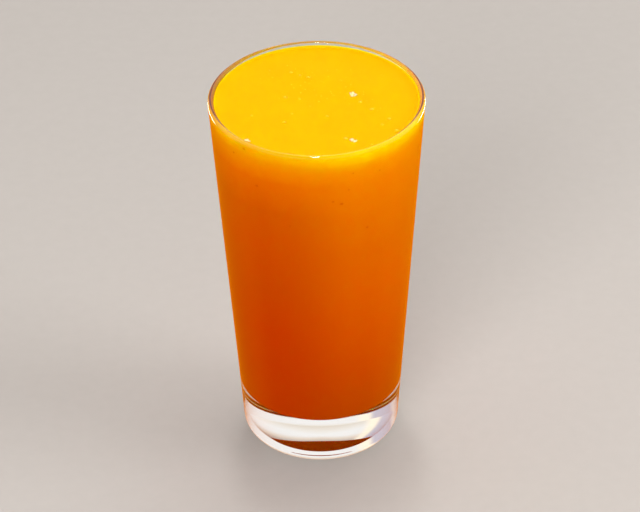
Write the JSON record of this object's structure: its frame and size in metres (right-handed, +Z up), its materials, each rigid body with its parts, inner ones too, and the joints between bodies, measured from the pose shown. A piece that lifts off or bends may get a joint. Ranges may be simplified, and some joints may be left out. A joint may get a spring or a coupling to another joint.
{
  "type": "mango lassi in a glass",
  "caption": "Tapered clear glass tumbler with a thick solid foot, filled nearly to the brim with an opaque yellow-orange mango lassi that has small bubbles in its surface.",
  "frame": {"origin": "middle of the glass's foot, on the surface that it stands on", "axes": "+Z up along the glass's axis, -Y towards the viewer of the picture, +X to that viewer's right"},
  "size_m": [0.0748, 0.0748, 0.14],
  "materials": {
    "clear_glass": "clear, smooth and fire-polished, with a faint grey-green cast",
    "mango_lassi": "opaque, thick and smooth; saturated yellow on top, deepening to orange down the side"
  },
  "bodies": {
    "root": {"glass_tumbler": "clear_glass", "mango_lassi": "mango_lassi"}
  },
  "joints": []
}
